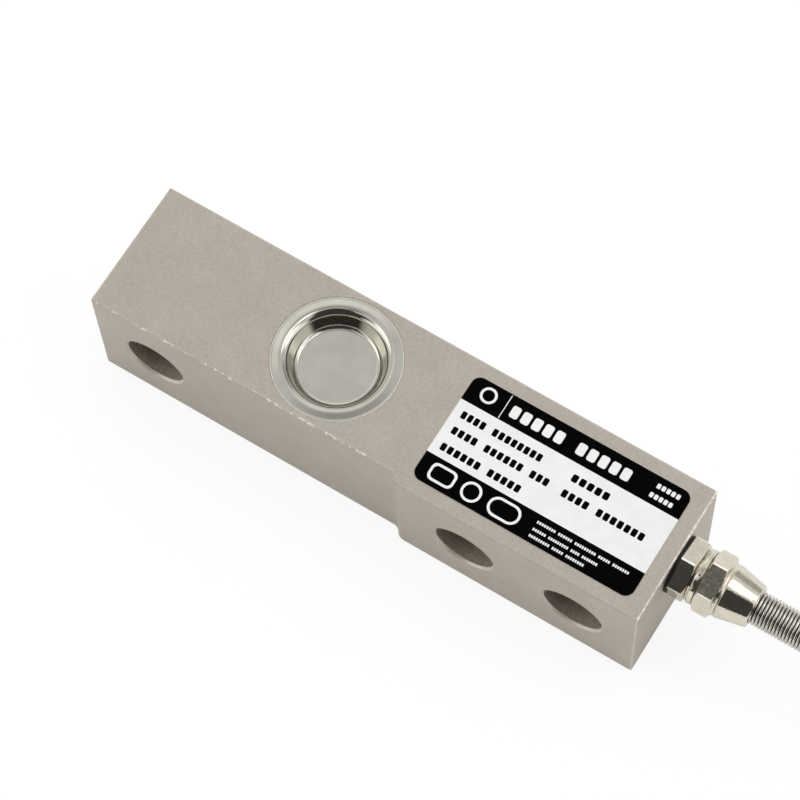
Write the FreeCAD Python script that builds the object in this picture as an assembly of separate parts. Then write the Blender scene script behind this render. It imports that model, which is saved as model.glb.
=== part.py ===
# Cantilever (single-ended shear) beam load cell, lying on its rear face.
# X runs along the beam from the loaded end to the cable end, the bolt holes run along Y,
# and the label and the front cup look up along +Z. Lengths are in millimetres.
import FreeCAD
import Part
import math
import os

Vec = FreeCAD.Vector
X_AXIS = Vec(1, 0, 0)
Y_AXIS = Vec(0, 1, 0)
Z_AXIS = Vec(0, 0, 1)

# Beam
beam_length = 130.0
beam_width = 31.8
beam_height = 29.8
pad_rise = 2.0
pad_reach = 18.2
pad_step_run = 3.4
edge_round = 0.5

# Bolt holes; the margin is the outer mounting hole's from the cable end
hole_diameter = 13.5
hole_chamfer = 0.5
load_hole_station = 13.9
mount_pitch = 25.4
mount_margin = 14.5

# Gauge pockets and the cups that seal them; the reach is counted from the load hole
pocket_reach = 36.2
pocket_diameter = 19.2
web_thickness = 4.0
cup_sheet = 0.5
cup_rim_diameter = 27.4
cup_mouth_diameter = 23.1
cup_floor_diameter = 16.3
cup_depth = 4.0
cup_shoulder_radius = 1.3
cup_floor_radius = 1.3
cup_fit = 0.05
cup_room = 0.3

# Rating label; the margin is its edge's from the cable end
label_length = 50.2
label_height = 25.4
label_corner = 2.0
label_thickness = 0.15
label_margin = 3.7

# Cable and cable port; the drop is the gland axis's from the front face
cable_diameter = 5.2
core_diameter = 1.0
core_spacing = 1.16
port_diameter = 8.0
port_depth = 8.0
gland_drop = 6.8
passage_diameter = 3.4

# Gland, stations counted from the cable end of the beam
thread_fit = 0.05
cable_room = 0.2
gland_bore_diameter = cable_diameter + 2 * cable_room
gland_stub_gap = 0.4
washer_diameter = 12.7
washer_thickness = 0.8
hex_across_flats = 12.0
hex_corner_angle = 30.0
body_hex_length = 3.6
body_hex_turn = 38.0
nut_gap = 0.3
nut_thread_diameter = 9.8
grommet_pocket_diameter = 8.0
grommet_length = 3.7
nut_collar_diameter = 12.1
nut_collar_length = 1.3
nut_hex_length = 4.4
nut_hex_turn = 18.0
nut_neck_length = 0.8
nut_neck_groove = 0.25
cone_base_diameter = 11.8
cone_end_diameter = 9.2
cone_length = 6.4
cone_lip_round = 0.4
nut_lip_length = 1.2
clamp_ring_thickness = 0.8
clamp_ring_fit = 0.15

# Anti-kink spring
spring_wire = 0.7
spring_slack = 0.3
spring_pitch = 0.75
spring_turns = 36
spring_end_coil = 1.0
spring_flare = 0.45
spring_room = 0.15

# Gauges, terminal board and their wiring, sealed in the pockets
gauge_side = 6.4
gauge_tab_length = 5.0
gauge_tab_width = 3.6
gauge_tab_overhang = 1.25
gauge_thickness = 0.15
shear_angle = 45.0
coating_thickness = 3.5
coating_room = 0.3
board_diameter = 17.6
board_thickness = 1.0
lead_diameter = 0.5
lead_pitch = 0.9
lead_count = 3
lead_hole_diameter = 3.0
lead_hole_offset = 7.4
front_lead_offset = 6.6
post_diameter = 0.9
post_height = 1.52
solder_gap = 0.02
core_room = 1.22
core_end_offsets = (6.0, 6.0, 3.0, 3.0)
resistor_size = (3.2, 1.6, 0.6)
resistor_rows = (-4.6, -2.0, 4.0)
resistor_offset = 3.4

# Cable past the gland; reaches counted from the cable end of the beam, and each arc's
# share of its shorter run
cable_start_reach = 25.0
cable_bend_reach = 59.5
cable_floor_reach = 84.0
cable_hank_reach = 108.0
arc_share = 0.45

# Put-away cable: a hank of flat turns, tied on both of its sides
hank_fold_radius = 15.6
hank_lanes = 2
hank_layers = 7
hank_straight = 45.0
hank_round = 1.2
hank_stub = 15.0
tie_thickness = 0.8
tie_fit = 0.1
tie_width = 5.0
flying_lead_length = 32.0
flying_lead_start = 8.0
flying_lead_pitch = 1.04

# Drawing aids: how far a cut runs past a face, half a hexagon's step, a level edge's height
cut_over = 1.0
hexagon_half_step = math.radians(30)
level_height = 1e-6

# Sizes that follow from the ones above
pad_face = -(beam_height + pad_rise) / 2
back_face = pad_face + beam_height + pad_rise
loaded_face = pad_face + pad_rise
axis_y = (loaded_face + back_face) / 2
mid_z = beam_width / 2
web_top = mid_z + web_thickness / 2
load_to_mount_pitch = beam_length - load_hole_station - mount_pitch - mount_margin
hole_stations = (
    load_hole_station,
    load_hole_station + load_to_mount_pitch,
    load_hole_station + load_to_mount_pitch + mount_pitch,
)
pad_start = hole_stations[1] - pad_reach
pocket_station = load_hole_station + pocket_reach
label_station = beam_length - label_margin - label_length / 2
gland_height = beam_width - gland_drop
core_level = beam_width - cup_depth - cup_sheet - core_room - (core_spacing + core_diameter) / 2
board_top = core_level - (core_spacing + core_diameter) / 2 - post_height
board_level = board_top - board_thickness
cable_radius = cable_diameter / 2
washer_end = beam_length + washer_thickness
body_hex_end = washer_end + body_hex_length
nut_start = body_hex_end + nut_gap
nut_hex_start = nut_start + nut_collar_length
nut_hex_end = nut_hex_start + nut_hex_length
cone_start = nut_hex_end + nut_neck_length
nut_end = cone_start + cone_length
grommet_start = body_hex_end + nut_collar_length
body_end = grommet_start + grommet_length
clamp_ring_end = body_end + clamp_ring_thickness
lip_start = nut_end - nut_lip_length
spring_radius = cable_radius + spring_slack + spring_wire
spring_tip = lip_start + spring_turns * spring_pitch
overall_length = spring_tip
row_shift = Vec(-overall_length / 2, 0, 0)

# Cable route past the spring. The last point is where the tube meets the hank.
lane_y = back_face - tie_thickness - tie_fit - cable_radius
lane_z = tie_thickness + cable_radius
cable_route = [
    Vec(beam_length + cable_start_reach, axis_y, gland_height),
    Vec(beam_length + cable_bend_reach, axis_y, gland_height),
    Vec(beam_length + cable_floor_reach, lane_y, lane_z),
    Vec(beam_length + cable_hank_reach, lane_y, lane_z),
]
cable_start = cable_route[0].x
port_floor = beam_length - port_depth
cable_bare = port_floor + gland_stub_gap


def save(name, shape):
    shape = shape.copy()
    shape.translate(row_shift)
    shape.exportStep("parts/" + name + ".step")


def block(low, high):
    return Part.makeBox(high.x - low.x, high.y - low.y, high.z - low.z, low)


def rounded_corners(points, radii):
    # Edges of an open path whose inner corners are rounded by tangent arcs.
    edges = []
    start = points[0]
    for before, corner, after, radius in zip(points, points[1:], points[2:], radii):
        to_before = (before - corner).normalize()
        to_after = (after - corner).normalize()
        half = to_before.getAngle(to_after) / 2
        reach = radius / math.tan(half)
        middle = (to_before + to_after).normalize()
        enter = corner + to_before * reach
        leave = corner + to_after * reach
        crown = corner + middle * (radius / math.sin(half) - radius)
        edges.append(Part.LineSegment(start, enter).toShape())
        edges.append(Part.Arc(enter, crown, leave).toShape())
        start = leave
    edges.append(Part.LineSegment(start, points[-1]).toShape())
    return edges


def turned_on_gland(profile):
    # Solid of revolution about the gland axis from (station, radius) corners.
    corners = [Vec(x, axis_y, gland_height + radius) for x, radius in profile]
    face = Part.Face(Part.makePolygon(corners + corners[:1]))
    return face.revolve(Vec(0, axis_y, gland_height), X_AXIS, 360)


def rod_on_gland(diameter, start, end):
    return Part.makeCylinder(diameter / 2, end - start, Vec(start, axis_y, gland_height), X_AXIS)


def rod_between(diameter, start, end):
    return Part.makeCylinder(diameter / 2, start.distanceToPoint(end), start, end - start)


def hexagon_on_gland(start, end, turn):
    # Hexagonal bar whose first flat is turned from +Z towards the pad side.
    corner_radius = hex_across_flats / 2 / math.cos(hexagon_half_step)
    corners = []
    for index in range(7):
        angle = math.radians(turn) + hexagon_half_step * (1 + 2 * index)
        across = Vec(0, -math.sin(angle), math.cos(angle)) * corner_radius
        corners.append(Vec(start, axis_y, gland_height) + across)
    return Part.Face(Part.makePolygon(corners)).extrude(X_AXIS * (end - start))


def turned_hexagon(start, end, turn, both_ends):
    # Hexagonal bar with its corners turned away to a cone at its outer end, or at both.
    flat_radius = hex_across_flats / 2
    corner_radius = flat_radius / math.cos(hexagon_half_step)
    run = (corner_radius - flat_radius) * math.tan(math.radians(hex_corner_angle))
    square_end = [(start, corner_radius)]
    turned_start = [(start, flat_radius), (start + run, corner_radius)]
    turned_end = [(end - run, corner_radius), (end, flat_radius)]
    first_end = turned_start if both_ends else square_end
    envelope = turned_on_gland([(start, 0)] + first_end + turned_end + [(end, 0)])
    return hexagon_on_gland(start, end, turn).common(envelope)


def mirrored_to_rear(shape):
    return shape.mirror(Vec(0, 0, mid_z), Z_AXIS)


def turned_on_cup(edges):
    # Solid of revolution about the front pocket's axis from a closed profile.
    face = Part.Face(Part.Wire(Part.__sortEdges__(edges)))
    return face.revolve(Vec(pocket_station, axis_y, 0), Z_AXIS, 360)


def cup_point(radius, depth):
    return Vec(pocket_station + radius, axis_y, beam_width - depth)


def sealing_cup():
    # Pressed sheet cup: flat rim, rounded shoulder, tapered wall and flat floor.
    floor = cup_floor_diameter / 2
    mouth = cup_mouth_diameter / 2
    rim = cup_rim_diameter / 2
    slant = math.atan2(cup_depth, mouth - floor)
    miter = cup_sheet * math.tan(slant / 2)
    upper = [cup_point(0, cup_depth), cup_point(floor, cup_depth), cup_point(mouth, 0), cup_point(rim, 0)]
    lower = [
        cup_point(0, cup_depth + cup_sheet),
        cup_point(floor + miter, cup_depth + cup_sheet),
        cup_point(mouth + miter, cup_sheet),
        cup_point(rim, cup_sheet),
    ]
    edges = rounded_corners(upper, (cup_floor_radius, cup_shoulder_radius))
    edges += rounded_corners(lower, (cup_floor_radius + cup_sheet, cup_shoulder_radius - cup_sheet))
    edges.append(Part.LineSegment(upper[0], lower[0]).toShape())
    edges.append(Part.LineSegment(upper[-1], lower[-1]).toShape())
    return turned_on_cup(edges)


def gauge_pocket():
    # Rim seat, countersink that clears the cup's wall and shoulder, and the pocket down to the web.
    slant = math.atan2(cup_depth, (cup_mouth_diameter - cup_floor_diameter) / 2)
    miter = cup_sheet * math.tan(slant / 2)
    shoulder = (cup_shoulder_radius - cup_sheet) * math.tan(slant / 2)
    seat_inner = cup_mouth_diameter / 2 + miter + max(cup_room / math.sin(slant), shoulder)
    pocket = pocket_diameter / 2
    cone_depth = cup_sheet + (seat_inner - pocket) * math.tan(slant)
    seat = cup_rim_diameter / 2 + cup_fit
    corners = [
        cup_point(0, -cut_over),
        cup_point(seat, -cut_over),
        cup_point(seat, cup_sheet),
        cup_point(seat_inner, cup_sheet),
        cup_point(pocket, cone_depth),
        cup_point(pocket, beam_width - web_top),
        cup_point(0, beam_width - web_top),
    ]
    edges = [Part.LineSegment(a, b).toShape() for a, b in zip(corners, corners[1:] + corners[:1])]
    return turned_on_cup(edges)


def bolt_hole(station):
    # Through hole along Y, countersunk a little at both mouths.
    mouth = pad_face if station > pad_start else loaded_face
    radius = hole_diameter / 2
    corners = [
        (mouth - cut_over, 0),
        (mouth - cut_over, radius + hole_chamfer + cut_over),
        (mouth + hole_chamfer, radius),
        (back_face - hole_chamfer, radius),
        (back_face + cut_over, radius + hole_chamfer + cut_over),
        (back_face + cut_over, 0),
    ]
    points = [Vec(station + r, y, mid_z) for y, r in corners]
    face = Part.Face(Part.makePolygon(points + points[:1]))
    return face.revolve(Vec(station, 0, mid_z), Y_AXIS, 360)


def beam_outline():
    # Plan of the beam; an S of two equal arcs leads up to the mounting pad.
    pad_from = pad_start + pad_step_run
    middle = Vec((pad_start + pad_from) / 2, (loaded_face + pad_face) / 2, 0)
    half_turn = math.atan2(pad_rise, pad_step_run)
    arc_radius = pad_rise / 2 / (1 - math.cos(2 * half_turn))
    inner_center = Vec(pad_start, loaded_face - arc_radius, 0)
    outer_center = Vec(pad_from, pad_face + arc_radius, 0)
    lean = Vec(math.sin(half_turn), math.cos(half_turn), 0) * arc_radius
    corners = [
        Vec(0, loaded_face, 0),
        Vec(0, back_face, 0),
        Vec(beam_length, back_face, 0),
        Vec(beam_length, pad_face, 0),
        Vec(pad_from, pad_face, 0),
    ]
    edges = [Part.LineSegment(a, b).toShape() for a, b in zip(corners, corners[1:])]
    edges.append(Part.Arc(corners[-1], outer_center - lean, middle).toShape())
    edges.append(Part.Arc(middle, inner_center + lean, Vec(pad_start, loaded_face, 0)).toShape())
    edges.append(Part.LineSegment(Vec(pad_start, loaded_face, 0), corners[0]).toShape())
    return Part.Face(Part.Wire(edges))


def beam_body():
    bar = beam_outline().extrude(Z_AXIS * beam_width)
    bar = bar.makeFillet(edge_round, bar.Edges)
    pocket = gauge_pocket()
    bar = bar.cut([pocket, mirrored_to_rear(pocket)] + [bolt_hole(x) for x in hole_stations])
    lead_hole = Part.makeCylinder(
        lead_hole_diameter / 2,
        web_thickness,
        Vec(pocket_station + lead_hole_offset, axis_y, web_top - web_thickness),
        Z_AXIS,
    )
    port = rod_on_gland(port_diameter, port_floor, beam_length + cut_over)
    passage = rod_between(
        passage_diameter,
        Vec(pocket_station, axis_y, core_level),
        Vec(port_floor + cut_over, axis_y, gland_height),
    )
    return bar.cut([lead_hole, port, passage])


def rating_label():
    low = Vec(label_station - label_length / 2, -label_height / 2, beam_width)
    high = Vec(label_station + label_length / 2, label_height / 2, beam_width + label_thickness)
    plate = block(low, high)
    upright = [e for e in plate.Edges if e.BoundBox.ZLength > level_height]
    return plate.makeFillet(label_corner, upright)


def gland_body():
    stub = port_diameter / 2 - thread_fit
    thread = nut_thread_diameter / 2
    stub_start = port_floor + gland_stub_gap
    turned = turned_on_gland([
        (stub_start, gland_bore_diameter / 2),
        (stub_start, stub),
        (washer_end, stub),
        (washer_end, thread),
        (body_end, thread),
        (body_end, grommet_pocket_diameter / 2),
        (grommet_start, grommet_pocket_diameter / 2),
        (grommet_start, gland_bore_diameter / 2),
    ])
    hexagon = turned_hexagon(washer_end, body_hex_end, body_hex_turn, False)
    hexagon = hexagon.cut(rod_on_gland(nut_thread_diameter, washer_end, body_hex_end))
    return turned.fuse(hexagon).removeSplitter()


def gland_washer():
    outer = rod_on_gland(washer_diameter, beam_length, washer_end)
    return outer.cut(rod_on_gland(port_diameter, beam_length, washer_end))


def gland_grommet():
    outer = rod_on_gland(grommet_pocket_diameter - 2 * thread_fit, grommet_start, body_end)
    return outer.cut(rod_on_gland(cable_diameter + 2 * thread_fit, grommet_start, body_end))


def gland_clamp_ring():
    outer = rod_on_gland(nut_thread_diameter - 2 * clamp_ring_fit, body_end, clamp_ring_end)
    return outer.cut(rod_on_gland(gland_bore_diameter, body_end, clamp_ring_end))


def gland_dome_nut():
    thread = nut_thread_diameter / 2 + thread_fit
    cavity = spring_radius + spring_flare + spring_room
    mouth = spring_radius + spring_room
    base = cone_base_diameter / 2
    tip = cone_end_diameter / 2
    neck_mid = (nut_hex_end + cone_start) / 2
    shell = turned_on_gland([
        (nut_start, thread),
        (nut_start, nut_collar_diameter / 2 - cone_lip_round),
        (nut_start + cone_lip_round, nut_collar_diameter / 2),
        (nut_hex_start, nut_collar_diameter / 2),
        (nut_hex_start, base),
        (nut_hex_end, base),
        (neck_mid, base - nut_neck_groove),
        (cone_start, base),
        (nut_end - cone_lip_round, tip + cone_lip_round * (base - tip) / cone_length),
        (nut_end, tip - cone_lip_round),
        (nut_end, mouth),
        (lip_start, mouth),
        (lip_start, cavity),
        (clamp_ring_end, cavity),
        (clamp_ring_end, thread),
    ])
    hexagon = turned_hexagon(nut_hex_start, nut_hex_end, nut_hex_turn, True)
    hexagon = hexagon.cut(rod_on_gland(2 * thread, nut_hex_start, nut_hex_end))
    hexagon = hexagon.cut(turned_on_gland([
        (clamp_ring_end, 0),
        (clamp_ring_end, cavity),
        (nut_hex_end, cavity),
        (nut_hex_end, 0),
    ]))
    return shell.fuse(hexagon).removeSplitter()


def anti_kink_spring():
    # Close-wound guard as a sleeve with one ridge to each turn and a flared end coil.
    bore = spring_radius - spring_wire
    root = spring_radius - spring_wire / 2
    flare = spring_radius + spring_flare
    profile = [(lip_start - spring_end_coil, bore), (lip_start - spring_end_coil, flare), (lip_start, flare)]
    for turn in range(spring_turns):
        start = lip_start + turn * spring_pitch
        profile.append((start, root))
        profile.append((start + spring_pitch / 2, spring_radius))
    profile.append((spring_tip, root))
    profile.append((spring_tip, bore))
    return turned_on_gland(profile)


def strain_gauge():
    # Foil carrier turned to the shear directions, with the tab that takes its leads.
    half = gauge_side / 2
    carrier = block(Vec(-half, -half, 0), Vec(half, half, gauge_thickness))
    carrier.rotate(Vec(0, 0, 0), Z_AXIS, shear_angle)
    tab = block(
        Vec(-front_lead_offset - gauge_tab_overhang, -gauge_tab_width / 2, 0),
        Vec(-front_lead_offset + gauge_tab_length, gauge_tab_width / 2, gauge_thickness),
    )
    gauge = carrier.fuse(tab).removeSplitter()
    gauge.translate(Vec(pocket_station, axis_y, web_top))
    return gauge


def lead_rows():
    return [axis_y + (index - (lead_count - 1) / 2) * lead_pitch for index in range(lead_count)]


def front_gauge_leads():
    # Short straight leads from the gauge's tab up to the terminal board.
    start = web_top + gauge_thickness
    height = board_level - start
    x = pocket_station - front_lead_offset
    return [Part.makeCylinder(lead_diameter / 2, height, Vec(x, y, start), Z_AXIS) for y in lead_rows()]


def rear_gauge_leads():
    # Leads that run along the rear of the web and up through its hole to the board.
    radius = lead_diameter / 2
    level = web_top - web_thickness - gauge_thickness - radius
    far = pocket_station + lead_hole_offset
    near = pocket_station - front_lead_offset
    leads = []
    for y in lead_rows():
        along = Part.makeCylinder(radius, far - near, Vec(near, y, level), X_AXIS)
        corner = Part.makeSphere(radius, Vec(far, y, level))
        upright = Part.makeCylinder(radius, board_level - level, Vec(far, y, level), Z_AXIS)
        leads.append(along.fuse([corner, upright]).removeSplitter())
    return leads


def gauge_coating(thickness, pieces_inside):
    center = Vec(pocket_station, axis_y, web_top)
    disc = Part.makeCylinder(pocket_diameter / 2 - coating_room, thickness, center, Z_AXIS)
    return disc.cut(pieces_inside)


def terminal_board():
    center = Vec(pocket_station, axis_y, board_level)
    return Part.makeCylinder(board_diameter / 2, board_thickness, center, Z_AXIS)


def core_places():
    half = core_spacing / 2
    corners = ((-half, -half), (half, -half), (-half, half), (half, half))
    return [(axis_y + y, core_level + z, end) for (y, z), end in zip(corners, core_end_offsets)]


def terminal_posts():
    posts = []
    for y, z, end in core_places():
        height = z - core_diameter / 2 - solder_gap - board_top
        start = Vec(pocket_station + end + post_diameter / 2, y, board_top)
        posts.append(Part.makeCylinder(post_diameter / 2, height, start, Z_AXIS))
    return posts


def trim_resistors():
    long, wide, high = resistor_size
    chips = []
    for row in resistor_rows:
        corner = Vec(pocket_station - resistor_offset - long / 2, axis_y + row - wide / 2, board_top)
        chips.append(Part.makeBox(long, wide, high, corner))
    return chips


def core_wires():
    # Each core runs from the cable's bared end through the passage to its post.
    climb = core_level - gland_height
    wires = []
    for y, z, end in core_places():
        at_post = Vec(pocket_station + end, y, z)
        at_cable = Vec(cable_bare, y, z - climb)
        wires.append(rod_between(core_diameter, at_post, at_cable))
    return wires


def cable_tube():
    # Straight runs joined by the largest arcs that they leave room for.
    radii = []
    for before, corner, after in zip(cable_route, cable_route[1:], cable_route[2:]):
        turn = (corner - before).getAngle(after - corner)
        shorter = min(corner.distanceToPoint(before), after.distanceToPoint(corner))
        radii.append(arc_share * shorter / math.tan(turn / 2))
    path = Part.Wire(rounded_corners(cable_route, radii))
    section = Part.Wire(Part.makeCircle(cable_radius, cable_route[0], X_AXIS))
    tube = path.makePipeShell([section], True, True)
    section_area = math.pi * cable_radius**2
    print("cable arc radii", [round(r, 1) for r in radii], "of diameter", cable_diameter)
    print("tube volume", round(tube.Volume, 2), "section x length", round(section_area * path.Length, 2))
    return tube


def racetrack(radius, near, far, y, base, height):
    # Upright solid with straight sides and round ends.
    bar = block(Vec(near, y - radius, base), Vec(far, y + radius, base + height))
    ends = [Part.makeCylinder(radius, height, Vec(x, y, base), Z_AXIS) for x in (near, far)]
    return bar.fuse(ends).removeSplitter()


hank_near = cable_route[-1].x + hank_stub
hank_far = hank_near + hank_straight
hank_inner = hank_fold_radius - cable_radius
hank_outer = hank_inner + hank_lanes * cable_diameter
hank_y = lane_y + cable_radius - hank_outer
hank_height = hank_layers * cable_diameter
hank_top = tie_thickness + hank_height
jacket_end = hank_far - flying_lead_start


def cable_hank():
    # Outer shape of the turns, the lane where the cable runs in, and the inner one its end leaves free.
    ring = racetrack(hank_outer, hank_near, hank_far, hank_y, tie_thickness, hank_height)
    ring = ring.makeFillet(hank_round, [e for e in ring.Edges if e.BoundBox.ZLength < level_height])
    ring = ring.cut(racetrack(hank_inner, hank_near, hank_far, hank_y, tie_thickness, hank_height))
    stub = block(
        Vec(hank_near - hank_stub, lane_y - cable_radius, tie_thickness),
        Vec(hank_near, lane_y + cable_radius, tie_thickness + cable_diameter),
    )
    free_lane = block(
        Vec(jacket_end - flying_lead_length, hank_y - hank_inner - cable_diameter, hank_top - cable_diameter),
        Vec(jacket_end, hank_y - hank_inner + cut_over, hank_top + cut_over),
    )
    return ring.fuse(stub).removeSplitter().cut(free_lane)


def hank_ties():
    ties = []
    middle = (hank_near + hank_far) / 2
    bundle = hank_lanes * cable_diameter
    for side in (-1, 1):
        y = hank_y + side * (hank_outer - bundle / 2)
        inner_half = bundle / 2 + tie_fit
        outer_half = inner_half + tie_thickness
        outer = block(
            Vec(middle - tie_width / 2, y - outer_half, 0),
            Vec(middle + tie_width / 2, y + outer_half, hank_top + tie_fit + tie_thickness),
        )
        inner = block(
            Vec(middle - tie_width / 2, y - inner_half, tie_thickness),
            Vec(middle + tie_width / 2, y + inner_half, hank_top + tie_fit),
        )
        ties.append(outer.cut(inner))
    return ties


def flying_leads(count):
    lane = hank_y - hank_fold_radius
    start = jacket_end - flying_lead_length
    level = hank_top - cable_diameter + core_diameter / 2
    leads = []
    for index in range(count):
        y = lane + (index - (count - 1) / 2) * flying_lead_pitch
        leads.append(Part.makeCylinder(core_diameter / 2, flying_lead_length, Vec(start, y, level), X_AXIS))
    return leads


os.makedirs("parts", exist_ok=True)
save("beam_body", beam_body())
cup = sealing_cup()
save("front_sealing_cup", cup)
save("rear_sealing_cup", mirrored_to_rear(cup))
save("rating_label", rating_label())

save("gland_sealing_washer", gland_washer())
save("gland_body", gland_body())
save("gland_grommet", gland_grommet())
save("gland_clamp_ring", gland_clamp_ring())
save("gland_dome_nut", gland_dome_nut())
save("anti_kink_spring", anti_kink_spring())

gauge = strain_gauge()
rear_gauge = mirrored_to_rear(gauge)
front_leads = front_gauge_leads()
rear_leads = rear_gauge_leads()
save("front_strain_gauge", gauge)
save("rear_strain_gauge", rear_gauge)
save("front_gauge_leads", Part.makeCompound(front_leads))
save("rear_gauge_leads", Part.makeCompound(rear_leads))
save("front_gauge_coating", gauge_coating(board_level - web_top, [gauge] + front_leads + rear_leads))
rear_inside = [gauge] + [mirrored_to_rear(lead) for lead in rear_leads]
save("rear_gauge_coating", mirrored_to_rear(gauge_coating(coating_thickness, rear_inside)))
save("terminal_board", terminal_board())
save("terminal_posts", Part.makeCompound(terminal_posts()))
save("trim_resistors", Part.makeCompound(trim_resistors()))
wire_names = ("red", "black", "green", "white")
for colour, wire in zip(wire_names, core_wires()):
    save("core_wire_" + colour, wire)

save("cable_in_gland", rod_on_gland(cable_diameter, cable_bare, cable_start))
save("cable", cable_tube())
save("cable_hank", cable_hank())
save("hank_ties", Part.makeCompound(hank_ties()))
for colour, lead in zip(wire_names + ("drain",), flying_leads(len(wire_names) + 1)):
    save("flying_lead_" + colour, lead)
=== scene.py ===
import math

import bpy
from mathutils import Matrix, Quaternion, Vector


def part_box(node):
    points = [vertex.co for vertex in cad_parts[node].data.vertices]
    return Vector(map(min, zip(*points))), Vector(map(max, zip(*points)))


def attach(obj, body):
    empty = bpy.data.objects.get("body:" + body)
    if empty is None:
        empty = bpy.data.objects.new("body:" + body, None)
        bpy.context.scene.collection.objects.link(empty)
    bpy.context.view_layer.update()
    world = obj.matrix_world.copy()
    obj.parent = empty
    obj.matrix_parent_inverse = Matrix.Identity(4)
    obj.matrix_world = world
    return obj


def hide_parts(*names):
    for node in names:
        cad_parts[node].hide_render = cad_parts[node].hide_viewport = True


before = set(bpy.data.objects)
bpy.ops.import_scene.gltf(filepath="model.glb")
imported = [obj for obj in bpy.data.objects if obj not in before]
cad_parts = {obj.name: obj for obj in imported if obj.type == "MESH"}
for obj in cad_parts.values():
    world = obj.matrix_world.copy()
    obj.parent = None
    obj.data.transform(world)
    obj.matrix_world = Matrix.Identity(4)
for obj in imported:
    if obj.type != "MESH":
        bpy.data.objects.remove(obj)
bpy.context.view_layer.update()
mm = 0.001
nearly = 1e-6                             # metres; places closer than this are the same
weld = 0.002                              # mm; points of a turned shape closer than this become one
bevelFrom = math.radians(50)              # edges that turn by more than this are rounded
squareOn = 0.9                            # share of a face's normal along the axis that it looks along
slanting = 0.5
edgeOn = 0.1
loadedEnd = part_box("beam_body")[0].x      # stations are counted along X from the loaded end, in mm


def at(station, y, z):
    return Vector((loadedEnd + station * mm, y * mm, z * mm))


def linearColour(hexText):                # sRGB hex to linear RGBA
    parts = [int(hexText[i:i + 2], 16) / 255 for i in (1, 3, 5)]
    return [p / 12.92 if p <= 0.04045 else ((p + 0.055) / 1.055) ** 2.4 for p in parts] + [1.0]


def addNode(tree, kind, settings=None, links=None):
    node = tree.nodes.new(kind)
    for key, value in (settings or {}).items():
        if isinstance(key, str) and hasattr(node, key):
            setattr(node, key, value)
        else:
            node.inputs[key].default_value = value
    for key, source in (links or {}).items():
        tree.links.new(source, node.inputs[key])
    return node


# Camera: the photograph's viewing angle, found from the beam's corners
cameraSet = {"place": (121.70, -199.69, 627.07), "aim": (-20.92, -0.04, 31.80), "roll": -4.10,
             "lens": 144.28, "sensor": 36.0, "clip": 0.01}


def placeCamera():
    s = cameraSet
    data = bpy.data.cameras.new("photoCamera")
    data.sensor_width = s["sensor"]
    data.lens = s["lens"]
    data.clip_start = s["clip"]
    camera = bpy.data.objects.new("photoCamera", data)
    bpy.context.scene.collection.objects.link(camera)
    place = Vector(s["place"]) * mm
    aim = Vector(s["aim"]) * mm
    turn = (aim - place).to_track_quat("-Z", "Y")
    camera.location = place
    camera.rotation_mode = "QUATERNION"
    camera.rotation_quaternion = turn @ Quaternion((0, 0, 1), math.radians(s["roll"]))
    bpy.context.scene.camera = camera


placeCamera()
print("camera placed")


# Materials: two near tones, a gloss and a relief, each led by a pattern of a real size in mm
patternSet = {"gritMm": 0.5, "gritSpread": (0.3, 0.7), "plateCloudMm": 7.0, "plateCloudShare": 0.2,
              "plateGloss": 0.03, "plateReliefMm": 0.008, "dashMm": 1.1, "dashDetail": 4.0, "dashGloss": (0.6, 0.42),
              "dashMetallic": 0.35, "scuffMm": 0.4, "marksMm": 0.7, "detail": 3.0, "reliefStrength": 0.5}


def startMaterial(name):
    material = bpy.data.materials.new(name)
    material.use_nodes = True
    tree = material.node_tree
    tree.nodes.clear()
    where = addNode(tree, "ShaderNodeTexCoord").outputs["Object"]
    return material, tree, where


def grain(tree, where, sizeMm, detail=2.0, low=0.35, high=0.65):    # 0 to 1, blotches about sizeMm wide
    noise = addNode(tree, "ShaderNodeTexNoise", {"Scale": 1 / (sizeMm * mm), "Detail": detail},
                    {"Vector": where})
    spread = addNode(tree, "ShaderNodeMapRange", {"From Min": low, "From Max": high},
                     {"Value": noise.outputs[0]})
    return spread.outputs[0]


def closeMaterial(tree, settings, tones, toneBy, rough, roughBy, reliefMm, reliefBy):
    first, second = [linearColour(tone) for tone in tones]
    colour = addNode(tree, "ShaderNodeMix", {"data_type": "RGBA", 6: first, 7: second}, {0: toneBy})
    gloss = addNode(tree, "ShaderNodeMapRange", {"To Min": rough[0], "To Max": rough[1]}, {"Value": roughBy})
    relief = addNode(tree, "ShaderNodeBump",
                     {"Strength": patternSet["reliefStrength"], "Distance": reliefMm * mm}, {"Height": reliefBy})
    shader = addNode(tree, "ShaderNodeBsdfPrincipled", settings,
                     {"Base Color": colour.outputs[2], "Roughness": gloss.outputs[0], "Normal": relief.outputs[0]})
    addNode(tree, "ShaderNodeOutputMaterial", links={"Surface": shader.outputs[0]})


def blastedNickel(name, first, second, rough, metallic=1.0):
    # nickel plate over bead-blasted alloy steel: satin, warm grey, fine sand speckle with faint clouds
    s = patternSet
    material, tree, where = startMaterial(name)
    grit = grain(tree, where, s["gritMm"], s["detail"], *s["gritSpread"])       # drawn coarse enough to show
    clouds = grain(tree, where, s["plateCloudMm"])
    tone = addNode(tree, "ShaderNodeMix", {"data_type": "FLOAT", 0: s["plateCloudShare"]}, {2: grit, 3: clouds})
    closeMaterial(tree, {"Metallic": metallic}, (first, second), tone.outputs[0],
                  (rough - s["plateGloss"], rough + s["plateGloss"]), grit, s["plateReliefMm"], grit)
    return material


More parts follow.
